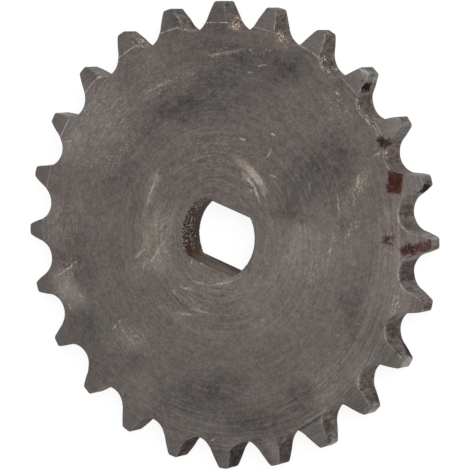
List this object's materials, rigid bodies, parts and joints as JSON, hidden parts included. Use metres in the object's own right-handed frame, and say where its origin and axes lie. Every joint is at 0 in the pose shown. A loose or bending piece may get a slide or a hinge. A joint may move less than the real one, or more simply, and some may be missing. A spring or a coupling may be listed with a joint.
{
  "type": "chain sprocket",
  "caption": "Flat steel plate sprocket for roller chain, with bevelled hobbed teeth and a double-D bore, in dark oiled steel with light wear and rust.",
  "frame": {"origin": "the axis of the sprocket where it meets the back face, on which the part lies", "axes": "+Z along the sprocket's axis, from the back face to the front; X is parallel to the flats of the bore"},
  "size_m": [0.1272, 0.1272, 0.0091],
  "materials": {
    "dark_steel": "dark oiled steel with fine turning marks, mottled warm and cool grey, with scuffs, bare edges and spots of red-brown rust"
  },
  "bodies": {
    "root": {"sprocket": "dark_steel"}
  },
  "joints": []
}
